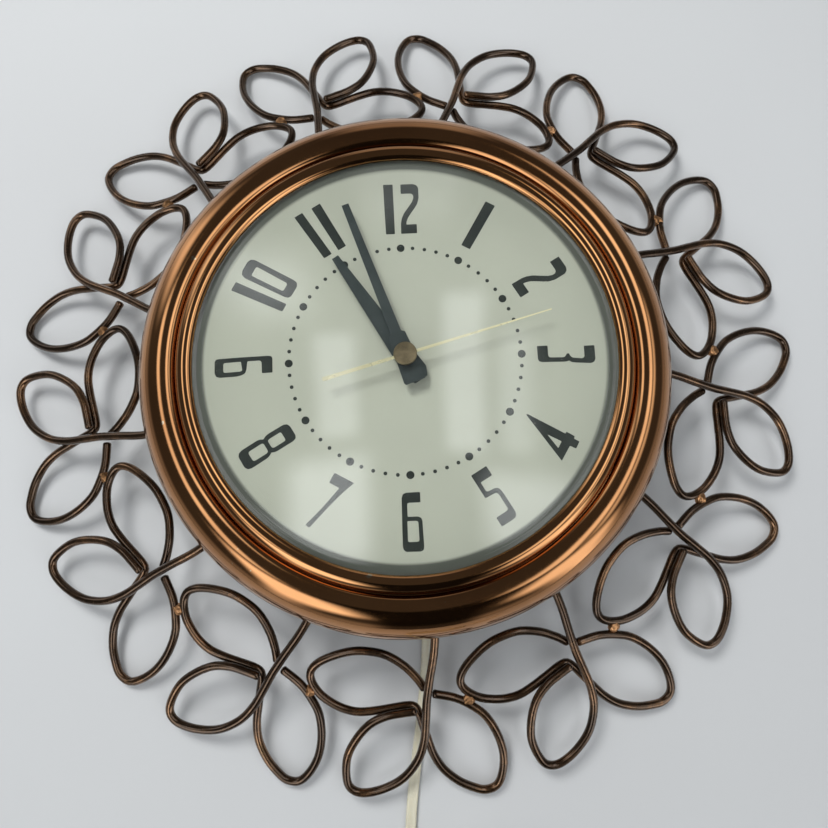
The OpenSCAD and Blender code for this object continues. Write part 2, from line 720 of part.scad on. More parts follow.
case_shell();
bezel_ring();
glass_crystal();
dial_plate();
dial_posts();
rear_plate();
case_screws();
wreath_hoop();
hoop_spacers();
hoop_screws();
for (i = [0 : sprig_count - 1])
    leaf_sprig(i);
braze_beads();
front_movement_plate();
back_movement_plate();
movement_pillars();
movement_screws();
chassis_posts();
stator_core();
motor_spacers();
motor_screws();
coil_bobbin();
coil_winding();
coil_leads();
rotor_can();
rotor_pinion();
seconds_wheel();
third_wheel();
centre_wheel();
cannon_pinion();
motion_post();
motion_wheel();
hour_wheel();
set_arbor();
set_knob();
hour_hand();
minute_hand();
second_hand();
second_hand_hub();
back_cover();
cover_screws();
cord_grommet();
cord();
cord_coil();
cord_tie();
plug_body();
plug_blades();
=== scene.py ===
"""Sunburst wall clock: the looks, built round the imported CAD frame."""
import bmesh
import bpy
import json
import math
import random
from mathutils import Vector, Matrix, noise


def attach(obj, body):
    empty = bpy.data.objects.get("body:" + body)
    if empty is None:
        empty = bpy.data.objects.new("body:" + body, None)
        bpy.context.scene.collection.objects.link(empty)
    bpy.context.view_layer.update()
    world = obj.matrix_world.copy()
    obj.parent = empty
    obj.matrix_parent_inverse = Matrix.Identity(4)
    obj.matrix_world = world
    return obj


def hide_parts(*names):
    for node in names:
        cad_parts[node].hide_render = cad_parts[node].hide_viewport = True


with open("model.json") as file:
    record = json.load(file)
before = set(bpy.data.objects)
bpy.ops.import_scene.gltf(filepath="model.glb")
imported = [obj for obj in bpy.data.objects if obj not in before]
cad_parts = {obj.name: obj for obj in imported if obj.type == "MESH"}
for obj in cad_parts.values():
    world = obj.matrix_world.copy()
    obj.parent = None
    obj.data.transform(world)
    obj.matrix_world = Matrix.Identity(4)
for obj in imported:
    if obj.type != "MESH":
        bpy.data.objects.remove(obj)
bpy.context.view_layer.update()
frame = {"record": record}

MM = 0.001
scene = bpy.context.scene
CASE = "case"


# ------------------------------------------------------------------ helpers
def new_object(name, verts, faces, mats=()):
    """A smooth-shaded object from points and faces."""
    mesh = bpy.data.meshes.new(name)
    mesh.from_pydata([tuple(v) for v in verts], [], [tuple(f) for f in faces])
    mesh.validate()
    mesh.update()
    obj = bpy.data.objects.new(name, mesh)
    scene.collection.objects.link(obj)
    for m in mats:
        mesh.materials.append(m)
    mesh.polygons.foreach_set("use_smooth", [True] * len(mesh.polygons))
    return obj


def sharpen(obj, degrees=35):
    """Marks edges sharper than an angle so smooth shading stops there."""
    obj.data.set_sharp_from_angle(angle=math.radians(degrees))


def piece(obj, body, slot, *nodes):
    """Attaches a piece to the body it rides on and hides the nodes it replaces; slot is not used."""
    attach(obj, body)
    if nodes:
        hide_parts(*nodes)
    return obj


def catmull(knots, n):
    """The same smooth line as the CAD's, with n steps between knots."""
    p = [Vector(k) for k in knots]
    q = [2 * p[0] - p[1]] + p + [2 * p[-1] - p[-2]]
    out = []
    for i in range(1, len(q) - 2):
        a, b, c, d = q[i - 1:i + 3]
        for k in range(n):
            t = k / n
            out.append(0.5 * (2 * b + (c - a) * t + (2 * a - 5 * b + 4 * c - d) * t * t
                              + (3 * b - a - 3 * c + d) * t ** 3))
    out.append(p[-1].copy())
    return out


def evenly(points, spacing):
    """Points spaced evenly along a line."""
    lengths = [0.0]
    for a, b in zip(points, points[1:]):
        lengths.append(lengths[-1] + (b - a).length)
    total = lengths[-1]
    n = max(2, round(total / spacing))
    out, j = [], 0
    for i in range(n + 1):
        s = total * i / n
        while j < len(points) - 2 and lengths[j + 1] < s:
            j += 1
        span = lengths[j + 1] - lengths[j]
        t = (s - lengths[j]) / span if span > 1e-12 else 0
        out.append(points[j].lerp(points[j + 1], min(max(t, 0), 1)))
    return out


def ease(t):
    """Rises smoothly from 0 to 1 as t does."""
    t = min(max(t, 0.0), 1.0)
    return t * t * (3 - 2 * t)


def path_length(points):
    return sum((b - a).length for a, b in zip(points, points[1:]))


def frames(points):
    """Tangents and normals carried along a line without twist."""
    n = len(points)
    tans = [(points[min(i + 1, n - 1)] - points[max(i - 1, 0)]).normalized() for i in range(n)]
    up = Vector((0, 0, 1))
    nor = up - tans[0] * up.dot(tans[0])
    if nor.length < 1e-6:
        nor = Vector((1, 0, 0)) - tans[0] * tans[0].x
    nor.normalize()
    out = []
    for t in tans:
        nor = (nor - t * nor.dot(t)).normalized()
        out.append((t, nor, t.cross(nor)))
    return out


END_FLATNESS = 0.55  # length of a rounded end as a share of its radius


def tube(name, paths, profile, round_end=0.0, mats=()):
    """Sweeps a profile along one or more lines. profile(i, n) gives the
    outline's points in the normal and binormal directions at point i of n."""
    verts, faces = [], []
    for points in paths:
        fr = frames(points)
        n = len(points)
        rings = [(p, fr[i], profile(i, n), 1.0) for i, p in enumerate(points)]
        if round_end:
            extra = [(round_end * END_FLATNESS * math.sin(math.radians(a)), math.cos(math.radians(a)))
                     for a in (30, 60, 80)]
            head = [(points[0] - fr[0][0] * b, fr[0], profile(0, n), k) for b, k in reversed(extra)]
            tail = [(points[-1] + fr[-1][0] * b, fr[-1], profile(n - 1, n), k) for b, k in extra]
            rings = head + rings + tail
        base = len(verts)
        m = len(rings[0][2])
        for p, (_, u, w), prof, k in rings:
            for a, b in prof:
                verts.append(p + u * a * k + w * b * k)
        for i in range(len(rings) - 1):
            for j in range(m):
                q = base + i * m
                j2 = (j + 1) % m
                faces.append((q + j, q + j2, q + m + j2, q + m + j))
        faces.append(tuple(base + m - 1 - j for j in range(m)))
        last = base + (len(rings) - 1) * m
        faces.append(tuple(last + j for j in range(m)))
    return new_object(name, verts, faces, mats=mats)


def circle(r, sides):
    """Points round a circle."""
    return [(r * math.cos(2 * math.pi * k / sides), r * math.sin(2 * math.pi * k / sides))
            for k in range(sides)]


WAVE, WAVE_UP = 0.03, 0.05  # how fast the dents in spun metal change, per mm
OTHER_PLACE = Vector((31, 7, 3))


def lathe(name, profile, segments, mats=(), closed=True, wobble=0.0, seed=0):
    """Turns a profile of (radius, height) pairs in mm about the hands' axis."""
    verts, faces = [], []
    n = len(profile)
    for s in range(segments):
        a = 2 * math.pi * s / segments
        for r, z in profile:
            dz = dr = 0.0
            if wobble and r > 1:
                p = Vector((math.cos(a) * r * WAVE, math.sin(a) * r * WAVE, z * WAVE_UP + seed))
                dr = noise.noise(p) * wobble
                dz = noise.noise(p + OTHER_PLACE) * wobble
            verts.append(((r + dr) * math.cos(a) * MM, (r + dr) * math.sin(a) * MM, (z + dz) * MM))
    for s in range(segments):
        s2 = (s + 1) % segments
        for k in range(n if closed else n - 1):
            k2 = (k + 1) % n
            faces.append((s * n + k, s2 * n + k, s2 * n + k2, s * n + k2))
    obj = new_object(name, verts, faces, mats=mats)
    # points on the axis fall together
    bm = bmesh.new()
    bm.from_mesh(obj.data)
    bmesh.ops.remove_doubles(bm, verts=bm.verts, dist=1e-7)
    bmesh.ops.recalc_face_normals(bm, faces=bm.faces)
    bm.to_mesh(obj.data)
    bm.free()
    return obj


def arc(c, rx, rz, a0, a1, n):
    """Points along part of an ellipse, from angle a0 to a1 in degrees."""
    angles = [math.radians(a0 + (a1 - a0) * i / n) for i in range(n + 1)]
    return [(c[0] + rx * math.cos(a), c[1] + rz * math.sin(a)) for a in angles]


# ---------------------------------------------------------------- materials
class Nodes:
    """A short way to write node trees."""

    def __init__(self, name):
        self.mat = bpy.data.materials.new(name)
        self.mat.use_nodes = True
        self.tree = self.mat.node_tree
        self.tree.nodes.clear()
        self.out = self.tree.nodes.new("ShaderNodeOutputMaterial")
        self.bsdf = self.tree.nodes.new("ShaderNodeBsdfPrincipled")
        self.link(self.bsdf.outputs[0], self.out.inputs[0])
        self.coord = self.tree.nodes.new("ShaderNodeTexCoord").outputs["Object"]

    def link(self, a, b):
        self.tree.links.new(a, b)

    def node(self, kind, **inputs):
        n = self.tree.nodes.new(kind)
        for k, v in inputs.items():
            k = k.replace("_", " ")
            if k in n.inputs:
                if hasattr(v, "is_output"):
                    self.link(v, n.inputs[k])
                else:
                    n.inputs[k].default_value = v
            else:
                setattr(n, k.replace(" ", "_"), v)
        return n

    def noise(self, scale, detail=4, rough=0.55, vector=None, distort=0.0):
        n = self.node("ShaderNodeTexNoise", Scale=scale, Detail=detail, Roughness=rough,
                      Distortion=distort)
        self.link(vector or self.coord, n.inputs["Vector"])
        return n.outputs["Fac"]

    def stretched(self, scale):
        n = self.node("ShaderNodeMapping")
        self.link(self.coord, n.inputs["Vector"])
        n.inputs["Scale"].default_value = scale
        return n.outputs["Vector"]

    def ramp(self, fac, stops):
        n = self.tree.nodes.new("ShaderNodeValToRGB")
        self.link(fac, n.inputs[0])
        e = n.color_ramp.elements
        while len(e) < len(stops):
            e.new(0.5)
        for el, (pos, col) in zip(e, stops):
            el.position = pos
            el.color = (*col, 1) if len(col) == 3 else col
        return n.outputs[0]

    def grey(self, fac, lo, hi, a=0.0, b=1.0):
        n = self.node("ShaderNodeMapRange")
        self.link(fac, n.inputs["Value"])
        n.inputs["From Min"].default_value = lo
        n.inputs["From Max"].default_value = hi
        n.inputs["To Min"].default_value = a
        n.inputs["To Max"].default_value = b
        return n.outputs[0]

    def mix(self, fac, a, b, mode="MIX"):
        n = self.tree.nodes.new("ShaderNodeMix")
        n.data_type = "RGBA"
        n.blend_type = mode
        for sock, v in ((n.inputs[0], fac), (n.inputs[6], a), (n.inputs[7], b)):
            if hasattr(v, "is_output"):
                self.link(v, sock)
            else:
                sock.default_value = v if isinstance(v, (int, float)) else (*v, 1)
        return n.outputs[2]

    def math(self, op, a, b=0.0):
        n = self.tree.nodes.new("ShaderNodeMath")
        n.operation = op
        for sock, v in ((n.inputs[0], a), (n.inputs[1], b)):
            if hasattr(v, "is_output"):
                self.link(v, sock)
            else:
                sock.default_value = v
        return n.outputs[0]

    def bump(self, height, strength, distance):
        n = self.node("ShaderNodeBump", Strength=strength, Distance=distance)
        self.link(height, n.inputs["Height"])
        self.link(n.outputs[0], self.bsdf.inputs["Normal"])

    def set(self, **inputs):
        for k, v in inputs.items():
            sock = self.bsdf.inputs[k.replace("_", " ")]
            if hasattr(v, "is_output"):
                self.link(v, sock)
            else:
                sock.default_value = (*v, 1) if isinstance(v, tuple) and len(v) == 3 else v

    def axis_distance(self):
        """Distance from the hands' axis."""
        sep = self.node("ShaderNodeSeparateXYZ")
        self.link(self.coord, sep.inputs[0])
        x, y = sep.outputs[0], sep.outputs[1]
        return self.math("SQRT", self.math("ADD", self.math("MULTIPLY", x, x),
                                           self.math("MULTIPLY", y, y)))


# chips in the lacquer: degrees anticlockwise from three o'clock, radius, height, size
CHIPS = [(151.6, 111.4, 64.8, 1.6), (-167.1, 114.4, 65.0, 1.2), (-101.5, 99.7, 66.0, 1.6)]
CHIP_EDGE, CHIP_SOFT, CHIP_RAGGED = 1.9, 0.15, 2.8


def chip_mask(n):
    """Ragged bare spots at a few places on the lacquer."""
    ragged = n.node("ShaderNodeTexNoise", Scale=700, Detail=3)
    n.link(n.coord, ragged.inputs["Vector"])
    total = None
    for degrees, radius, height, size in CHIPS:
        a = math.radians(degrees)
        away = n.node("ShaderNodeVectorMath", operation="DISTANCE")
        n.link(n.coord, away.inputs[0])
        away.inputs[1].default_value = Vector((radius * math.cos(a), radius * math.sin(a), height)) * MM
        near = n.math("ADD", n.math("MULTIPLY", away.outputs["Value"], 1 / (size * MM)),
                      n.math("MULTIPLY", ragged.outputs["Fac"], CHIP_RAGGED))
        spot = n.grey(near, CHIP_EDGE + CHIP_SOFT, CHIP_EDGE)
        total = spot if total is None else n.math("MAXIMUM", total, spot)
    return total


def copper(name, tint=(0.50, 0.255, 0.105), dark=(0.34, 0.160, 0.060), rough=0.07):
    """Copper-tone lacquer over polished metal, with haze, fine specks and a few chips."""
    n = Nodes(name)
    haze = n.noise(14, 3, 0.5)
    fine = n.noise(380, 2, 0.5)
    mottled = n.mix(n.grey(haze, 0.35, 0.7), tint, dark)
    specks = n.grey(n.noise(700, 1, 0.3), 0.765, 0.785)
    zone = n.grey(n.noise(22, 2, 0.5), 0.62, 0.70)
    chips = n.math("MAXIMUM", n.math("MULTIPLY", specks, zone), chip_mask(n))
    colour = n.mix(chips, mottled, (0.46, 0.40, 0.31))
    n.set(Base_Color=colour, Metallic=1.0)
    r = n.math("ADD", n.grey(haze, 0.3, 0.75, rough * 0.75, rough * 1.5),
               n.grey(fine, 0.4, 0.7, 0, 0.03))
    n.set(Roughness=r, Coat_Weight=0.55, Coat_Roughness=0.05, Coat_IOR=1.5)
    n.bsdf.inputs["Coat Tint"].default_value = (1.0, 0.86, 0.70, 1)
    n.bump(n.math("ADD", n.noise(9, 2, 0.4), n.math("MULTIPLY", fine, 0.02)), 0.5, 0.0004)
    return n.mat


def wire_bronze():
    """Antique bronze lacquer, rubbed through to copper and brass in random patches."""
    n = Nodes("wire_bronze")
    big = n.noise(45, 4, 0.6)
    small = n.noise(420, 4, 0.6)
    base = n.ramp(big, [(0.30, (0.045, 0.026, 0.014)), (0.52, (0.090, 0.050, 0.025)),
                        (0.66, (0.23, 0.122, 0.058)), (0.80, (0.13, 0.086, 0.038))])
    colour = n.mix(n.grey(small, 0.52, 0.72, 0, 0.55), base, (0.055, 0.035, 0.022))
    n.set(Base_Color=colour, Metallic=0.95)
    n.set(Roughness=n.grey(small, 0.3, 0.7, 0.14, 0.32), Coat_Weight=0.6, Coat_Roughness=0.06)
    n.bump(n.math("ADD", small, n.math("MULTIPLY", n.noise(1500, 2), 0.4)), 0.35, 0.00012)
    return n.mat


def metal(name, colour, rough, scale=300, streak=(1, 1, 1), vary=0.25, dark=None, metallic=1.0):
    """Bare metal with fine wear, drawn out along an axis by streak."""
    n = Nodes(name)
    v = n.stretched(streak)
    f = n.noise(scale, 4, 0.6, v)
    big = n.noise(30, 3, 0.5)
    dark = dark or tuple(c * (1 - vary) for c in colour)
    col = n.mix(n.grey(big, 0.35, 0.7), colour, dark)
    n.set(Base_Color=n.mix(n.grey(f, 0.45, 0.75, 0, 0.4), col, dark), Metallic=metallic)
    n.set(Roughness=n.grey(f, 0.3, 0.7, rough * 0.8, rough * 1.3))
    n.bump(f, 0.2, 0.00006)
    return n.mat


TURNING_PITCH = 0.25 * MM


def turned_brass():
    """Brass cap with fine circular turning marks."""
    n = Nodes("turned_brass")
    rings = n.math("SINE", n.math("MULTIPLY", n.axis_distance(), 2 * math.pi / TURNING_PITCH))
    n.set(Base_Color=n.mix(n.grey(n.noise(600), 0.4, 0.7), (0.36, 0.28, 0.17), (0.27, 0.21, 0.13)),
          Metallic=1.0, Roughness=0.38)
    n.bump(rings, 0.35, 0.00002)
    return n.mat


def dial_paint():
    """Satin cream paint, greyer outwards, with specks, and painted shade: a dark ring at the rim
    standing in for the glass's thick edge.
    """
    n = Nodes("dial_paint")
    r = n.axis_distance()
    edge = n.grey(r, 70 * MM, 100 * MM)
    cloud = n.noise(18, 4, 0.6)
    base = n.mix(n.grey(cloud, 0.35, 0.7), (0.56, 0.565, 0.485), (0.525, 0.53, 0.455))
    base = n.mix(n.math("MULTIPLY", edge, 0.35), base, (0.40, 0.405, 0.345))
    # painted shade: the dial turns dark beyond 94 mm, standing in for the grey ring where the glass's
    # thick edge lies over it
    base = n.mix(n.grey(r, 92.5 * MM, 94 * MM), base, (0.10, 0.105, 0.09))
    speck = n.grey(n.noise(1400, 1, 0.2), 0.765, 0.79)
    base = n.mix(n.math("MULTIPLY", speck, 0.35), base, (0.22, 0.20, 0.15))
    n.set(Base_Color=base, Roughness=n.grey(n.noise(260, 3), 0.3, 0.7, 0.38, 0.5))
    n.bump(n.noise(2200, 2), 0.12, 0.00004)
    return n.mat


def print_ink():
    """Dark slate ink with worn flecks."""
    n = Nodes("print_ink")
    wear = n.math("MULTIPLY", n.grey(n.noise(1300, 3, 0.7), 0.66, 0.72),
                  n.grey(n.noise(60, 2), 0.5, 0.62))
    col = n.mix(n.grey(n.noise(90, 3), 0.35, 0.7), (0.018, 0.023, 0.021), (0.030, 0.036, 0.032))
    n.set(Base_Color=n.mix(wear, col, (0.45, 0.44, 0.38)), Roughness=0.5)
    n.bump(n.noise(1800, 2), 0.2, 0.00003)
    return n.mat


def hand_paint():
    """Dark slate paint on the hands, with worn flecks."""
    n = Nodes("hand_paint")
    wear = n.grey(n.noise(900, 4, 0.7), 0.68, 0.72)
    col = n.mix(n.grey(n.noise(120, 3), 0.35, 0.7), (0.034, 0.044, 0.046), (0.056, 0.068, 0.070))
    n.set(Base_Color=n.mix(n.math("MULTIPLY", wear, 0.7), col, (0.30, 0.31, 0.28)),
          Roughness=n.grey(n.noise(500, 3), 0.3, 0.7, 0.36, 0.5))
    n.bump(n.noise(1500, 3), 0.25, 0.00004)
    return n.mat


def clear_glass():
    """Clear glass that lets lamps through to the dial, with faint dust in its gloss."""
    n = Nodes("clear_glass")
    n.set(Base_Color=(0.965, 0.985, 0.97), Transmission_Weight=1.0, IOR=1.5,
          Roughness=n.grey(n.noise(70, 4, 0.6), 0.3, 0.8, 0.0, 0.035))
    clear = n.node("ShaderNodeBsdfTransparent")
    clear.inputs[0].default_value = (0.94, 0.96, 0.945, 1)
    path = n.tree.nodes.new("ShaderNodeLightPath")
    mix = n.tree.nodes.new("ShaderNodeMixShader")
    n.link(path.outputs["Is Shadow Ray"], mix.inputs[0])
    n.link(n.bsdf.outputs[0], mix.inputs[1])
    n.link(clear.outputs[0], mix.inputs[2])
    n.link(mix.outputs[0], n.out.inputs[0])
    return n.mat


def vinyl(name, colour, rough=0.3, sub=0.0, vary=0.12):
    """Moulded plastic, with some light passing under its surface if sub is given."""
    n = Nodes(name)
    f = n.noise(60, 4, 0.6)
    fine = n.noise(900, 3, 0.6)
    dark = tuple(c * (1 - vary) for c in colour)
    n.set(Base_Color=n.mix(n.grey(f, 0.35, 0.7), colour, dark),
          Roughness=n.grey(fine, 0.3, 0.7, rough * 0.8, rough * 1.25))
    if sub:
        n.set(Subsurface_Weight=sub, Subsurface_Scale=0.002)
        n.bsdf.inputs["Subsurface Radius"].default_value = (1.0, 0.85, 0.6)
    n.bump(fine, 0.25, 0.00005)
    return n.mat


def wrinkle(name, colour):
    """Wrinkle-finish paint."""
    n = Nodes(name)
    v = n.node("ShaderNodeTexVoronoi", Scale=900)
    n.link(n.coord, v.inputs["Vector"])
    f = n.noise(500, 4, 0.6, distort=1.2)
    n.set(Base_Color=n.mix(n.grey(f, 0.4, 0.7), colour, tuple(c * 1.8 + 0.01 for c in colour)),
          Roughness=n.grey(f, 0.3, 0.7, 0.4, 0.6))
    n.bump(n.math("ADD", f, n.math("MULTIPLY", v.outputs["Distance"], 0.5)), 0.7, 0.00025)
    return n.mat


def cloth_tape(name, colour):
    """Woven tape round the motor's coil."""
    n = Nodes(name)
    weave = n.node("ShaderNodeTexWave", Scale=220, Distortion=1.5, Detail=2)
    n.link(n.coord, weave.inputs["Vector"])
    n.set(Base_Color=n.mix(weave.outputs["Fac"], colour, tuple(c * 0.55 for c in colour)),
          Roughness=n.grey(n.noise(800, 3), 0.3, 0.7, 0.35, 0.6))
    n.bump(weave.outputs["Fac"], 0.6, 0.0002)
    return n.mat


LOOKS = {
    "copper_case": copper("copper_case"),
    "copper_ring": copper("copper_ring", (0.55, 0.285, 0.12), (0.38, 0.185, 0.07), 0.06),
    "bronze_wire": wire_bronze(),
    "braze": metal("braze", (0.62, 0.33, 0.16), 0.32, 700, vary=0.45, dark=(0.30, 0.16, 0.07)),
    "clear_glass": clear_glass(),
    "dial_paint": dial_paint(),
    "print_ink": print_ink(),
    "hand_paint": hand_paint(),
    "bright_brass": metal("bright_brass", (0.95, 0.87, 0.58), 0.28, 120, (1, 1, 1), 0.07, metallic=0.4),
    "turned_brass": turned_brass(),
    "plate_brass": metal("plate_brass", (0.68, 0.52, 0.25), 0.34, 260, (1, 14, 1), 0.25),
    "zinc_steel": metal("zinc_steel", (0.56, 0.57, 0.58), 0.34, 200, (10, 1, 1), 0.2),
    "hoop_steel": metal("hoop_steel", (0.16, 0.10, 0.06), 0.34, 300, (1, 1, 1), 0.35, metallic=0.9),
    "core_steel": metal("core_steel", (0.30, 0.31, 0.32), 0.45, 240, (1, 1, 30), 0.4),
    "bobbin_plastic": vinyl("bobbin_plastic", (0.72, 0.66, 0.48), 0.45),
    "coil_wrap": cloth_tape("coil_wrap", (0.34, 0.10, 0.05)),
    "cover_paint": wrinkle("cover_paint", (0.022, 0.022, 0.024)),
    "black_plastic": vinyl("black_plastic", (0.03, 0.028, 0.027), 0.28, vary=0.3),
    "cord_vinyl": vinyl("cord_vinyl", (0.72, 0.69, 0.55), 0.24, sub=0.35),
    "plug_vinyl": vinyl("plug_vinyl", (0.74, 0.70, 0.56), 0.34, sub=0.2),
    "tie_plastic": vinyl("tie_plastic", (0.05, 0.05, 0.05), 0.35, vary=0.3),
}
for entry in frame["record"]["subparts"]:
    obj = bpy.data.objects.get(entry["node"])
    if obj and entry["material_slot"] in LOOKS:
        obj.data.materials.clear()
        obj.data.materials.append(LOOKS[entry["material_slot"]])

# ------------------------------------------------------------------- camera
cam_data = bpy.data.cameras.new("camera")
cam = bpy.data.objects.new("camera", cam_data)
scene.collection.objects.link(cam)
scene.camera = cam
cam_data.sensor_width = 36
cam_data.lens = 32.78
cam_data.clip_start, cam_data.clip_end = 0.01, 20
CAMERA_AT = Vector((-0.66, -85.21, 403.39))
look = Vector((0.01017, 0.17057, -0.98529)).normalized()
right = look.cross(Vector((0.04248, 0.98438, 0.17085))).normalized()
turn = Matrix((right, right.cross(look), -look)).transposed().to_4x4()
cam.matrix_world = Matrix.Translation(CAMERA_AT * MM) @ turn

# --------------------------------------------------------------------- cord
CORD_W, CORD_H = 5.4, 2.8
CORD_ROUTE = [(6, -68, 14), (6, -78, 13.4), (6, -90, 10.4), (6, -102, 6), (5.8, -113, 2.8),
              (5.4, -124, 1.4), (4.8, -137, 1.4), (3.4, -151, 1.4), (1.5, -165, 1.4),
              (-0.9, -180, 1.4), (-3.6, -196, 1.4), (-6, -212, 1.4), (-7.6, -228, 1.4),
              (-8.9, -244, 1.6), (-9.8, -260, 2.4), (-10, -272, 3.1)]
TAIL_ROUTE = [(32, -307.6, 13.4), (42, -307.2, 11.6), (52, -307, 9.4), (62, -307, 7.6),
              (70, -307, 7)]
COIL_AT = (21.8, -276)
COIL_R, COIL_PITCH, COIL_RISE, COIL_Z0 = 28.5, 3.1, 5.6, 3.4
# each turn's column, outer +1 to inner -1, and layer
TURNS = [(1, 0), (0, 0), (-1, 0), (-1, 1), (0, 1), (1, 1), (0, 2), (1, 2)]
STEPS, LAST_STEPS = 36, 9  # points in a turn and in the last quarter turn
CROSSING = 0.72  # share of a turn after which the cord crosses to its next place
DROOP = 0.006    # fall of the last quarter turn, for each step squared
coil_points = []
for k, (col, layer) in enumerate(TURNS):
    next_col, next_layer = TURNS[min(k + 1, len(TURNS) - 1)]
    for i in range(STEPS):
        t = i / STEPS
        e = ease((t - CROSSING) / (1 - CROSSING))
        r = COIL_R + COIL_PITCH * (col + (next_col - col) * e)
        z = COIL_Z0 + COIL_RISE * (layer + (next_layer - layer) * e)
        a = math.pi + 2 * math.pi * (k + t)
        coil_points.append(Vector((COIL_AT[0] + r * math.cos(a), COIL_AT[1] + r * math.sin(a), z)))
for i in range(LAST_STEPS):
    a = math.pi + 2 * math.pi * len(TURNS) + math.pi / 2 * i / LAST_STEPS
    r = COIL_R + COIL_PITCH
    coil_points.append(Vector((COIL_AT[0] + r * math.cos(a), COIL_AT[1] + r * math.sin(a),
                               COIL_Z0 + 2 * COIL_RISE - DROOP * i * i)))
knots = [Vector(p) for p in CORD_ROUTE] + coil_points[1:] + [Vector(p) for p in TAIL_ROUTE]
line = evenly(catmull(knots, 4), 2.0)
cord_length = path_length(line)
flat_until = path_length(evenly(catmull(CORD_ROUTE, 4), 2.0))
coil_until = cord_length - path_length([Vector(p) for p in TAIL_ROUTE])


CORD_POINTS = 40
# the groove between the two cores: depth as a share, and half its width
CORD_GROOVE, CORD_GROOVE_HALF = 0.30, 0.75
# how far before the coil's start and end the cord turns over, and over what length
UP_BEFORE, UP_OVER, DOWN_BEFORE, DOWN_OVER = 32, 60, 5, 42


def cord_outline(half_w, half_h):
    """Two round cores side by side with a groove between them."""
    out = []
    for c, s in circle(1, CORD_POINTS):
        groove = CORD_GROOVE * math.exp(-((c * half_w / CORD_GROOVE_HALF) ** 2))
        core = math.copysign(half_w - half_h, c) * min(1.0, abs(c) * 3)
        out.append((s * half_h * (1 - groove), core + c * half_h))
    return out


def sweep_cord(name, points, mats):
    """The cord lies flat, stands on edge in the coil and lies flat again at the plug."""
    outline = cord_outline(CORD_W / 2, CORD_H / 2)
    verts, faces = [], []
    n, m, s = len(points), len(outline), 0.0
    for i, p in enumerate(points):
        if i:
            s += (p - points[i - 1]).length
        t = (points[min(i + 1, n - 1)] - points[max(i - 1, 0)]).normalized()
        side = Vector((0, 0, 1)).cross(t).normalized()
        top = t.cross(side)
        on_edge = (ease((s - flat_until + UP_BEFORE) / UP_OVER)
                   * (1 - ease((s - coil_until + DOWN_BEFORE) / DOWN_OVER)))
        a = math.pi / 2 * on_edge
        u = top * math.cos(a) + side * math.sin(a)
        w = side * math.cos(a) - top * math.sin(a)
        for x, y in outline:
            verts.append((p + u * x + w * y) * MM)
    for i in range(n - 1):
        for j in range(m):
            j2 = (j + 1) % m
            faces.append((i * m + j, i * m + j2, (i + 1) * m + j2, (i + 1) * m + j))
    faces.append(tuple(m - 1 - j for j in range(m)))
    faces.append(tuple((n - 1) * m + j for j in range(m)))
    return new_object(name, verts, faces, mats=mats)


cord = piece(sweep_cord("flat_cord", line, [LOOKS["cord_vinyl"]]),
             CASE, "cord_vinyl", "cord", "cord_coil")
PLUG = TAIL_ROUTE[-1]
CORNER = 0.42  # corner radius of the plug as a share of its thickness


def rounded_block(name, sections, mats, sides=48):
    """Lofts rounded rectangles of (x, half width, half height) along +X."""
    verts, faces = [], []
    for x, hw, hh in sections:
        r = min(hw, hh) * 2 * CORNER
        for k in range(sides):
            a = 2 * math.pi * (k + 0.5) / sides
            c, s = math.cos(a), math.sin(a)
            y = (hw - r) * (1 if c > 0 else -1) + r * c
            z = (hh - r) * (1 if s > 0 else -1) + r * s
            verts.append(((PLUG[0] + x) * MM, (PLUG[1] + y) * MM, (PLUG[2] + z) * MM))
    n = len(sections)
    for i in range(n - 1):
        for j in range(sides):
            j2 = (j + 1) % sides
            faces.append((i * sides + j, i * sides + j2, (i + 1) * sides + j2, (i + 1) * sides + j))
    faces.append(tuple(sides - 1 - j for j in range(sides)))
    faces.append(tuple((n - 1) * sides + j for j in range(sides)))
    obj = new_object(name, verts, faces, mats=mats)
    sharpen(obj, 60)
    return obj


# the moulded plug: a neck, five grip ridges that widen, and the body
RIDGES, RIDGE_AT, RIDGE_PITCH = 5, 1.2, 1.5
sections = [(0.0, 3.4, 2.2), (0.3, 4.0, 2.8)]
for i in range(RIDGES):
    for along, half_w, half_h in ((0, 4.6, 3.2), (0.5, 5.0, 3.6), (0.95, 4.7, 3.3)):
        sections.append((RIDGE_AT + i * RIDGE_PITCH + along, half_w + i * 0.5, half_h + i * 0.22))
sections += [(9.5, 8.6, 4.9), (11, 11.2, 5.7), (13, 13.2, 6.2), (15, 14.2, 6.4), (19, 14.5, 6.5),
             (22.4, 14.5, 6.5), (23.4, 14.2, 6.2), (23.9, 13.5, 5.6), (24.0, 12.8, 5.0)]
plug = piece(rounded_block("moulded_plug", sections, [LOOKS["plug_vinyl"]]),
             CASE, "plug_vinyl", "plug_body")
ROUNDNESS = 0.30  # 1 makes the tie's loop round, 0 makes it square


def band(name, cx, cy, half, z0, z1, width, t, mats):
    """A flat band looped round the coil's wires, squarish in section."""
    verts, faces = [], []
    rings = 40
    w = width / 2
    for c, s in circle(1, rings):
        across = math.copysign(abs(c) ** ROUNDNESS, c)
        upwards = math.copysign(abs(s) ** ROUNDNESS, s)
        px = across * half
        pz = (z0 + z1) / 2 + upwards * (z1 - z0) / 2
        qx = across * (half - t)
        qz = (z0 + z1) / 2 + upwards * ((z1 - z0) / 2 - t)
        for x, z, y in ((px, pz, -w), (px, pz, w), (qx, qz, w), (qx, qz, -w)):
            verts.append(((cx + x) * MM, (cy + y) * MM, z * MM))
    for i in range(rings):
        j = (i + 1) % rings
        for k in range(4):
            k2 = (k + 1) % 4
            faces.append((i * 4 + k, j * 4 + k, j * 4 + k2, i * 4 + k2))
    obj = new_object(name, verts, faces, mats=mats)
    sharpen(obj, 40)
    return obj


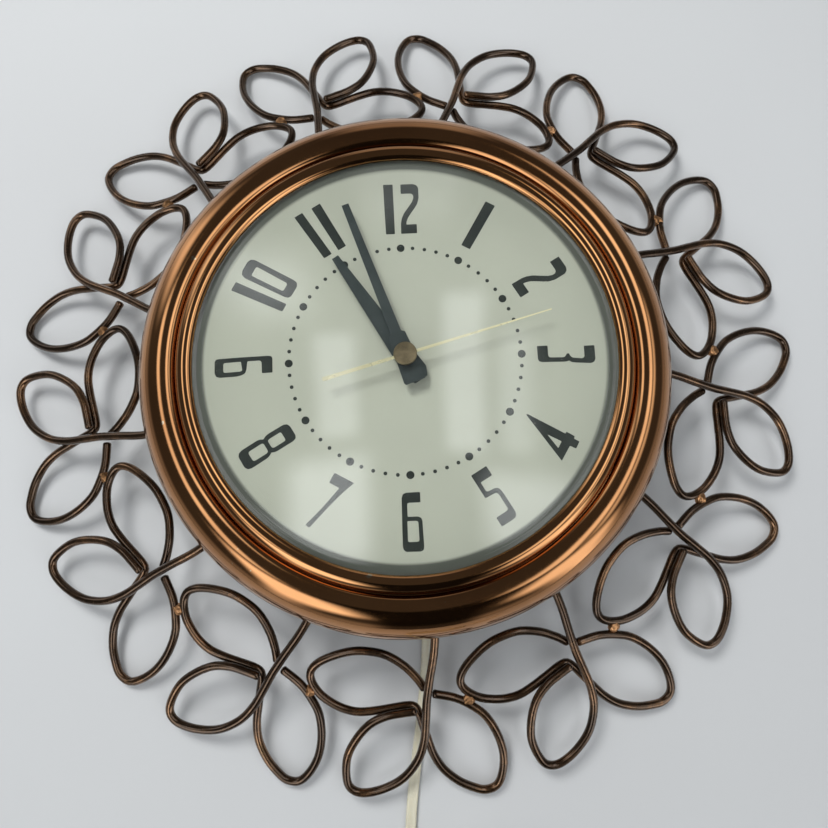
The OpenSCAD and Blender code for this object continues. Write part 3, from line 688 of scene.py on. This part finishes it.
tie = piece(band("cord_tie_band", COIL_AT[0] + COIL_R, COIL_AT[1], 5.5, 0.05, 18.4, 6, 0.5,
                 [LOOKS["tie_plastic"]]), CASE, "tie_plastic", "cord_tie")

# strain relief where the cord leaves the cover: a tapered ribbed sleeve
SLEEVE_END_Y = -90
RIBS, RIB_H = 7, 0.35
sleeve_line = [p * MM for p in evenly(catmull(CORD_ROUTE[:4], 8), 0.5) if p.y > SLEEVE_END_Y]


def sleeve_ring(i, n):
    """The sleeve's outline, slimmer and plainer towards its free end."""
    t = i / (n - 1)
    rib = RIB_H * (0.5 + 0.5 * math.cos(2 * math.pi * t * RIBS)) if t < 0.95 else 0
    half_h, half_w = 1.9 - 0.35 * t + rib, 3.3 - 0.4 * t + rib
    return [(a * half_h * MM, b * half_w * MM) for a, b in circle(1, 32)]


relief = tube("strain_relief", [sleeve_line], sleeve_ring, mats=[LOOKS["black_plastic"]])
piece(relief, CASE, "black_plastic")

# ------------------------------------------------------------------- wreath
STEM = [(2.2, 112), (2.8, 120), (4, 129.5), (6, 138.5), (9, 148.3), (11.8, 158.3),
        (13.6, 168), (15.8, 178), (20.3, 187.3), (28.7, 195.2), (39.5, 199.2),
        (49.4, 199.6), (54.8, 196.2), (55.8, 189.8), (53.8, 180.8), (48.4, 173),
        (41, 166.7), (32.6, 163.8), (24.7, 163.3), (18.6, 163.3)]
LEAVES = [(12.5, 153.5), (15.5, 148), (21, 141), (29, 134.8), (38, 131.8), (46, 131),
          (55, 132.2), (62, 134.5), (66, 138), (66.3, 143), (63.5, 149), (59, 153.8),
          (53, 158), (46, 160.6), (38, 161.2), (30, 161), (22.5, 160.8), (18.3, 161.8),
          (16.6, 165.5), (15.6, 171), (14.2, 178), (12.3, 186.5), (8.5, 194.5), (2, 201.5),
          (-5, 206), (-11, 208.2), (-17, 206.5), (-20.5, 200), (-21.8, 191), (-20, 181),
          (-15.5, 171.5), (-9.5, 165.5), (-2, 160.5), (8, 157)]
SPRIGS, FIRST_SPRIG = 13, -84
# each sprig was set by hand, so each is a little off its even place, in degrees
SPRIG_TURN = [0.5, 0.2, 0.1, -0.1, -0.1, 0, 0, -0.35, -0.65, -0.9, -0.7, -0.2, 0.6]
WIRE_R = 2.1
LAYER = 4.5  # how far the leaf wires lie behind the stems
BEAD, TACK = (67.3, 147.4), (14.9, 175.4)
# the wreath falls back with radius, from a level part under the case
WREATH_TOP, WREATH_SLOPE, SLOPE_R, SLOPE_Z = 32.6, 0.3, 148, 26.1


def wreath_z(u, v):
    return min(WREATH_TOP, SLOPE_Z - WREATH_SLOPE * (math.hypot(u, v) - SLOPE_R))


def sprig_angle(i):
    return math.radians(FIRST_SPRIG - 90 - SPRIG_TURN[i] - 360 / SPRIGS * i)


def on_sprig(i, u, v, z):
    """A place given in a sprig's own frame: across, outwards and up."""
    a = sprig_angle(i)
    return Vector((u * math.cos(a) - v * math.sin(a), u * math.sin(a) + v * math.cos(a), z))


def wire_line(i, knots, drop):
    flat = catmull([(u, v, wreath_z(u, v) - drop) for u, v in knots], 8)
    return [p * MM for p in evenly([on_sprig(i, p.x, p.y, p.z) for p in flat], 1.3)]


ring = circle(WIRE_R * MM, 16)
for i in range(SPRIGS):
    node = f"leaf_sprig_{i + 1:02d}"
    wires = tube(node + "_wires", [wire_line(i, STEM, 0), wire_line(i, LEAVES, LAYER)],
                 lambda k, n: ring, round_end=WIRE_R * MM, mats=[LOOKS["bronze_wire"]])
    piece(wires, CASE, "bronze_wire", node)

# braze: an uneven fillet at each joint, given by place, radius, drop and stretch
JOINTS = [(BEAD, 3.3, LAYER, (1.25, 0.9, 0.85)), (TACK, 2.0, LAYER / 2, (0.9, 1.5, 1.0))]
rng = random.Random(7)
bm = bmesh.new()
for i in range(SPRIGS):
    for spot, r, drop, squeeze in JOINTS:
        c = on_sprig(i, spot[0], spot[1], wreath_z(*spot) - drop)
        made = bmesh.ops.create_icosphere(bm, subdivisions=4, radius=1.0)["verts"]
        turned = Matrix.Rotation(sprig_angle(i), 3, "Z")
        off = Vector((rng.uniform(0, 50), rng.uniform(0, 50), rng.uniform(0, 50)))
        for v in made:
            d = v.co.normalized()
            k = r * (0.92 + 0.22 * noise.noise(d * 1.6 + off) + 0.06 * noise.noise(d * 6 + off))
            v.co = (c + turned @ (d * Vector(squeeze) * k)) * MM
mesh = bpy.data.meshes.new("braze_fillets")
bm.to_mesh(mesh)
bm.free()
mesh.materials.append(LOOKS["braze"])
mesh.polygons.foreach_set("use_smooth", [True] * len(mesh.polygons))
fillets = bpy.data.objects.new("braze_fillets", mesh)
scene.collection.objects.link(fillets)
piece(fillets, CASE, "braze", "braze_beads")

# --------------------------------------------------------------- spun shell
CASE_R, WAIST, CREST_Z, CREST_R, GROOVE = 128.0, 46.0, 65.0, 113.5, 107.0
FOOT_Z, FOOT_R, FOOT_INNER_R, FOOT_ROLL = 36.0, 122, 112, 6
FLANGE_R, FLANGE_Z, ROLL_Z = 96, 61.2, 62
WALL = 1
shell_out = ([(FLANGE_R, FLANGE_Z), (GROOVE + 0.2, FLANGE_Z)]
             + arc((CREST_R, ROLL_Z), CREST_R - GROOVE - 0.4, CREST_Z - ROLL_Z, 180, 90, 24)
             + arc((CREST_R, WAIST), CASE_R - CREST_R, CREST_Z - WAIST, 89, 0, 64)
             + arc((FOOT_R, WAIST), FOOT_ROLL, WAIST - FOOT_Z, -4, -90, 24))
shell_in = ([(FOOT_INNER_R, FOOT_Z), (FOOT_INNER_R, FOOT_Z + WALL)]
            + arc((FOOT_R, WAIST), FOOT_ROLL - WALL, WAIST - FOOT_Z - WALL, -90, -4, 16)
            + arc((CREST_R, WAIST), CASE_R - CREST_R - WALL, CREST_Z - WAIST - WALL, 0, 89, 32)
            + arc((CREST_R, ROLL_Z), CREST_R - GROOVE - 0.4 - WALL, CREST_Z - ROLL_Z - WALL,
                  90, 180, 12)
            + [(GROOVE + 0.2 + WALL, FLANGE_Z - WALL), (FLANGE_R, FLANGE_Z - WALL)])
shell = lathe("spun_case", shell_out + shell_in, 288, [LOOKS["copper_case"]], wobble=0.12, seed=3)
sharpen(shell, 40)
piece(shell, CASE, "copper_case", "case_shell")

LIP_R, RING_CREST_R, RING_CREST_Z, SEAT_Z = 98.5, 102.3, 66.6, 64.1
SEAT_R, BEZEL_BACK = 101.35, 61.25
bezel_profile = (arc((99.1, SEAT_Z + 0.55), 0.6, 0.55, 250, 150, 8)
                 + arc((RING_CREST_R, SEAT_Z + 0.4), RING_CREST_R - LIP_R, RING_CREST_Z - SEAT_Z - 0.4,
                       172, 92, 28)
                 + arc((RING_CREST_R, ROLL_Z), GROOVE - RING_CREST_R, RING_CREST_Z - ROLL_Z,
                       90, 0, 32)
                 + [(GROOVE, BEZEL_BACK), (SEAT_R, BEZEL_BACK), (SEAT_R, SEAT_Z)])
bezel = lathe("bezel", bezel_profile, 288, [LOOKS["copper_ring"]], wobble=0.06, seed=11)
sharpen(bezel, 40)
piece(bezel, CASE, "copper_ring", "bezel_ring")


# -------------------------------------------------------------------- glass
def dome(rim, rise, z, a, b, n):
    """A sphere's cap of a given rim radius and rise, from radius a to b."""
    big = (rim * rim + rise * rise) / (2 * rise)
    out = []
    for i in range(n + 1):
        r = a + (b - a) * i / n
        out.append((r, z + rise - big + math.sqrt(big * big - r * r)))
    return out


GLASS_TOP, GLASS_BACK = 64.05, 62.06
glass_rim = [(96.2, 64.12), (97, GLASS_TOP), (100.4, GLASS_TOP), (100.9, 63.8), (100.9, 62.3),
             (100.4, GLASS_BACK), (94.6, GLASS_BACK)]
glass_profile = (dome(96, 22, GLASS_TOP, 0, 95.2, 60) + glass_rim
                 + dome(94, 21.8, GLASS_BACK - 0.01, 93.9, 0, 60))
glass = lathe("domed_glass", glass_profile, 256, [LOOKS["clear_glass"]], closed=False)
sharpen(glass, 50)
piece(glass, CASE, "clear_glass", "glass_crystal")

# --------------------------------------------------------------- dial print
DIAL_Z = 62.0
INK_T = 0.03
# outlines in mm from each numeral's middle, the outer one first and then its holes
TWO = [(-3, 13.8), (3.2, 13.8), (4.8, 13), (5.6, 11.5), (5.6, 6.2), (4.7, 3), (3.2, 0.6),
       (1.5, -1.8), (0.1, -4), (-0.7, -6), (-0.9, -7.7), (4.1, -7.7), (4.1, -12.5), (-3.6, -12.5),
       (-3.5, -7), (-3, -4.4), (-1.8, -1.6), (0.6, 1.8), (2.3, 4.3), (3, 6.2), (3, 7.6),
       (2.4, 8.5), (1.4, 8.8), (-3, 8.8)]
# the same figure, slightly smaller, as twelve's second digit
TWELVES_TWO = [(x * 0.99 + 4.1, y * 0.944 - 0.97) for x, y in TWO]
GLYPHS = {
    1: [[(-1.8, 12.4), (3.2, 12.4), (2.4, -12.5), (-2.2, -12.5)]],
    2: [TWO],
    3: [[(-2.6, 13.8), (3.8, 13.8), (5.2, 13.1), (5.8, 11.7), (5.2, 4.2), (4.9, 2.6), (4.1, 1.7),
         (4.5, 0.6), (4.6, -0.6), (4.4, -10.7), (4, -12), (3, -12.7), (-3.4, -12.7), (-3.4, -7.8),
         (1.3, -7.8), (2.1, -7.4), (2.3, -6.8), (2.5, -0.7), (2.1, 0), (0.7, 0.9), (0.7, 1.8),
         (2.3, 2.6), (2.9, 3.6), (3.3, 7.6), (3, 8.5), (2.2, 8.9), (-2.6, 8.9)]],
    4: [[(2.2, 12.8), (2.8, 12.5), (2.6, -6.8), (3.6, -6.8), (3.5, -11.1), (2.3, -11.1),
         (2.25, -14), (-1.4, -14), (-1.5, -11), (-9.4, -10.7)],
        [(-1.6, 0.2), (-1.4, -6.8), (-4.9, -6.8)]],
    5: [[(-4.1, 12.3), (4.1, 12.3), (4.1, 7.4), (-2.1, 7.4), (-2.2, 3), (-1.6, 2.3), (1.4, 2),
         (2.8, 1.5), (3.6, 0.4), (3.9, -1.2), (3.9, -11.6), (3.3, -13.1), (2.1, -14), (-4.9, -14),
         (-4.9, -9.4), (0.6, -9.4), (1.5, -9.1), (1.8, -8.4), (1.9, -1.6), (1.6, -0.5), (0.7, 0),
         (-4.2, 0.4)]],
    6: [[(4, 12.2), (-2.2, 12.2), (-3.8, 11.5), (-4.4, 9.8), (-4.7, -11.6), (-4.3, -13), (-3.2, -13.9),
         (3.4, -14), (4.5, -13.3), (4.8, -12), (4.5, -0.5), (4, 0.7), (2.7, 1.4), (-2, 1.4),
         (-2, 6.8), (-1.8, 7.4), (-1.2, 7.6), (4, 7.6)],
        [(-2.2, -0.5), (1.9, -0.5), (2.5, -0.9), (2.7, -1.6), (2.8, -8.8), (2.6, -9.5), (1.9, -9.7),
         (-1.5, -9.7), (-2.1, -9.5), (-2.3, -8.8)]],
    7: [[(-3.8, 12.3), (6.2, 12.3), (4.3, 7.6), (2.9, 3.6), (1, -2.6), (-2.1, -14.3), (-4.2, -14),
         (-1.2, -4), (1.4, 7.3), (-3.9, 7.3)]],
    8: [[(-1.4, 12.7), (-3, 12), (-3.7, 10.4), (-3.8, 2.4), (-3.5, 0.9), (-2.7, -0.6), (-3.5, -1.9),
         (-3.8, -3.2), (-3.7, -11.2), (-3.2, -13), (-1.8, -14.1), (3.6, -14.2), (5.2, -13.4),
         (5.8, -11.6), (5.6, -3.4), (5.2, -1.9), (4.3, -0.6), (5, 0.7), (5.2, 2), (5.2, 10.4),
         (4.7, 12), (3.3, 12.7)],
        [(-0.8, 7.8), (2.4, 7.8), (3, 7.5), (3.1, 6.9), (3.1, 1.9), (2.8, 1), (2.1, 0.7), (-0.6, 0.7),
         (-1.3, 1), (-1.5, 1.9), (-1.5, 6.9), (-1.4, 7.6)],
        [(-0.8, -1.5), (2.6, -1.5), (3.3, -1.8), (3.6, -2.6), (3.6, -8.6), (3.3, -9.3), (2.7, -9.5),
         (-0.5, -9.5), (-1.1, -9.3), (-1.4, -8.6), (-1.5, -2.6), (-1.3, -1.8)]],
    9: [[(-3.4, 14), (2, 14), (3.1, 13.4), (3.4, 12.2), (3.8, 1.8), (4.1, -10.8), (3.8, -12),
         (3, -12.5), (-3.9, -12.5), (-4.1, -7.6), (0.8, -7.5), (1.7, -7.2), (2, -6.5), (1.8, -1),
         (-2.3, -0.5), (-3.9, 0.2), (-4.7, 1.8), (-5.2, 4), (-5.5, 11.6), (-5, 13.2)],
        [(-2.6, 10), (0.7, 10), (1.3, 9.7), (1.4, 9), (1.75, 2), (-2.1, 1.4), (-2.7, 1.7),
         (-2.9, 2.6), (-3.2, 9), (-3.1, 9.7)]],
    10: [[(-8.7, 13.7), (-4.1, 13.7), (-2.5, -12.4), (-6.6, -12.4)],
         [(2.2, 13.8), (7, 13.8), (8.7, 13), (9.5, 11.2), (9.4, -9.6), (8.9, -11.7), (7.2, -12.6),
          (2, -12.5), (0.6, -11.6), (0.1, -9.8), (-0.5, 11), (0.3, 13)],
         [(2.6, 9), (6.3, 9), (6.9, 8.7), (7, 8), (6.6, -7), (6.4, -7.7), (5.8, -8), (2.9, -8),
          (2.4, -7.7), (2.2, -7), (2, 8), (2.1, 8.7)]],
    11: [[(-7.7, 12.8), (-3.3, 12.8), (-2.1, -12.1), (-6.3, -12.1)],
         [(1.5, 12.4), (6.3, 12.4), (5.7, -12.3), (1.5, -12.3)]],
    12: [[(-7.2, 12.2), (-2.6, 12.2), (-2.4, -12.8), (-6.7, -12.8)],
         TWELVES_TWO],
}


def soften(points, r=0.35, n=4):
    """Rounds each corner of an outline a little."""
    out = []
    m = len(points)
    for i in range(m):
        a, b, c = (Vector(points[j % m]) for j in (i - 1, i, i + 1))
        d1, d2 = (a - b), (c - b)
        k1, k2 = min(r, d1.length * 0.45), min(r, d2.length * 0.45)
        p, q = b + d1.normalized() * k1, b + d2.normalized() * k2
        for j in range(n + 1):
            t = j / n
            out.append(p * (1 - t) ** 2 + b * 2 * t * (1 - t) + q * t * t)
    return out


def flat_shapes(name, loops, z, thickness, mats):
    """Fills closed outlines, with holes, into a thin plate."""
    data = bpy.data.curves.new(name + "_outline", "CURVE")
    data.dimensions = "2D"
    data.fill_mode = "BOTH"
    data.extrude = thickness / 2 * MM
    for loop in loops:
        sp = data.splines.new("POLY")
        sp.points.add(len(loop) - 1)
        for pt, p in zip(sp.points, loop):
            pt.co = (p[0] * MM, p[1] * MM, 0, 1)
        sp.use_cyclic_u = True
    tmp = bpy.data.objects.new(name + "_outline", data)
    scene.collection.objects.link(tmp)
    bpy.context.view_layer.update()
    dg = bpy.context.evaluated_depsgraph_get()
    mesh = bpy.data.meshes.new_from_object(tmp.evaluated_get(dg))
    bpy.data.objects.remove(tmp)
    mesh.name = name
    mesh.materials.clear()
    for m in mats:
        mesh.materials.append(m)
    mesh.transform(Matrix.Translation((0, 0, z * MM)))
    obj = bpy.data.objects.new(name, mesh)
    scene.collection.objects.link(obj)
    return obj


NUMERAL_R = 74
UPSIDE_DOWN = range(4, 9)  # hours whose feet point outwards
for hour, rings in GLYPHS.items():
    a = math.radians(30 * hour)
    out, across = Vector((math.sin(a), math.cos(a))), Vector((math.cos(a), -math.sin(a)))
    s = -1 if hour in UPSIDE_DOWN else 1
    loops = [[out * (NUMERAL_R + s * p.y) + across * (s * p.x) for p in soften(r)] for r in rings]
    ink = flat_shapes(f"numeral_{hour:02d}", loops, DIAL_Z + INK_T / 2, INK_T, [LOOKS["print_ink"]])
    piece(ink, CASE, "hand_paint")

DOT_RING, HOUR_DOT, MINUTE_DOT = 54, 1.85, 0.88
loops = []
for minute in range(60):
    a = math.radians(6 * minute)
    r = HOUR_DOT if minute % 5 == 0 else MINUTE_DOT
    c = (DOT_RING * math.sin(a), DOT_RING * math.cos(a))
    loops.append([(c[0] + x, c[1] + y) for x, y in circle(r, 40)])
dots = flat_shapes("minute_dots", loops, DIAL_Z + INK_T / 2, INK_T, [LOOKS["print_ink"]])
piece(dots, CASE, "hand_paint")

# -------------------------------------------------------------- hands' cap
SECOND_Z, HUB_R = 71.0, 5.3
CAP_SIDE, CAP_ROUND = 1.5, 0.6
crown = [(3.4, 2.18), (1.6, 2.30), (0.5, 2.34), (0, 2.30)]
cap_profile = ([(0, SECOND_Z), (HUB_R, SECOND_Z), (HUB_R, SECOND_Z + CAP_SIDE)]
               + arc((HUB_R - CAP_ROUND, SECOND_Z + CAP_SIDE), CAP_ROUND, CAP_ROUND, 10, 88, 8)
               + [(r, SECOND_Z + z) for r, z in crown])
cap = lathe("hand_cap", cap_profile, 96, [LOOKS["turned_brass"]], closed=False)
sharpen(cap, 50)
piece(cap, "seconds", "bright_brass", "second_hand_hub")


# --------------------------------------------------------- floor and lights
def stage_material():
    """A pale matt surface, slightly uneven in tone."""
    n = Nodes("pale_floor")
    f = n.noise(3, 3, 0.5)
    n.set(Base_Color=n.mix(n.grey(f, 0.3, 0.7), (0.62, 0.64, 0.655), (0.59, 0.605, 0.62)),
          Roughness=n.grey(f, 0.3, 0.7, 0.46, 0.50))
    return n.mat


FLOOR_HALF = 3
floor = new_object("floor", [(x * FLOOR_HALF, y * FLOOR_HALF, 0)
                             for x, y in ((-1, -1), (1, -1), (1, 1), (-1, 1))],
                   [(0, 1, 2, 3)], mats=[stage_material()])
floor.location.z = -0.2 * MM


KEY_AT = Vector((-0.5, 0.7, 1.3))
lamp = bpy.data.lights.new("key", "AREA")
lamp.energy = 15
lamp.color = (1.0, 0.99, 0.97)
lamp.size = 0.55
key = bpy.data.objects.new("key", lamp)
scene.collection.objects.link(key)
key.location = KEY_AT
key.rotation_mode = "QUATERNION"
key.rotation_quaternion = (-KEY_AT).to_track_quat("-Z", "Y")
key.visible_glossy = False
key.visible_transmission = False

world = bpy.data.worlds.new("studio")
scene.world = world
world.use_nodes = True
wt = world.node_tree
bg = wt.nodes["Background"]
direction = wt.nodes.new("ShaderNodeSeparateXYZ")
wt.links.new(wt.nodes.new("ShaderNodeTexCoord").outputs["Generated"], direction.inputs[0])
DX, DY, DZ = direction.outputs


def wmath(op, a, b):
    """Arithmetic on the world's values."""
    n = wt.nodes.new("ShaderNodeMath")
    n.operation = op
    for sock, v in zip(n.inputs, (a, b)):
        if hasattr(v, "is_output"):
            wt.links.new(v, sock)
        else:
            sock.default_value = v
    return n.outputs[0]


def step(v, lo, hi, a=0.0, b=1.0):
    """Eases from a to b while v goes from lo to hi."""
    n = wt.nodes.new("ShaderNodeMapRange")
    n.interpolation_type = "SMOOTHSTEP"
    wt.links.new(v, n.inputs["Value"])
    for sock, x in zip(("From Min", "From Max", "To Min", "To Max"), (lo, hi, a, b)):
        n.inputs[sock].default_value = x
    return n.outputs[0]


def pane(x0, x1, y0, y1, soft, bright):
    """A soft-edged lit panel overhead, placed by direction."""
    wide = wmath("MULTIPLY", step(DX, x0 - soft, x0 + soft), step(DX, x1 + soft, x1 - soft))
    tall = wmath("MULTIPLY", step(DY, y0 - soft, y0 + soft), step(DY, y1 + soft, y1 - soft))
    above = step(DZ, 0.02, 0.10, 0.0, bright)
    return wmath("MULTIPLY", wmath("MULTIPLY", wide, tall), above)


# each panel's x from and to, y from and to, softness and brightness
PANES = [(-0.46, -0.26, -0.20, 0.34, 0.06, 1.9), (-0.60, -0.22, -0.78, -0.30, 0.09, 2.6),
         (0.20, 0.40, -0.30, 0.52, 0.06, 2.0), (0.48, 0.62, -0.30, 0.32, 0.07, 1.3),
         (0.38, 0.80, -0.74, -0.40, 0.09, 2.2), (-0.76, -0.46, 0.44, 0.70, 0.12, 1.6),
         (-0.15, 0.25, 0.84, 0.98, 0.08, 0.5)]
# the room is brighter low down; a dark gap stands between the panels
room = step(DZ, 0.10, 0.35, 0.34, 0.075)
gap = wmath("MULTIPLY", wmath("MULTIPLY", step(DX, -0.24, -0.10), step(DX, 0.34, 0.20)),
            step(DY, -0.10, -0.24, 0.0, 0.85))
level = wmath("MULTIPLY", room, wmath("SUBTRACT", 1.0, gap))
for spec in PANES:
    level = wmath("ADD", level, pane(*spec))
wt.links.new(level, bg.inputs[1])
bg.inputs[0].default_value = (0.965, 0.985, 1.0, 1)
# seen directly, the backdrop is plain and pale: the panels only light the clock
plain = wt.nodes.new("ShaderNodeBackground")
plain.inputs[0].default_value = (0.60, 0.615, 0.63, 1)
seen = wt.nodes.new("ShaderNodeMixShader")
wt.links.new(wt.nodes.new("ShaderNodeLightPath").outputs["Is Camera Ray"], seen.inputs[0])
wt.links.new(bg.outputs[0], seen.inputs[1])
wt.links.new(plain.outputs[0], seen.inputs[2])
wt.links.new(seen.outputs[0], wt.nodes["World Output"].inputs[0])
scene.view_settings.view_transform = "Standard"
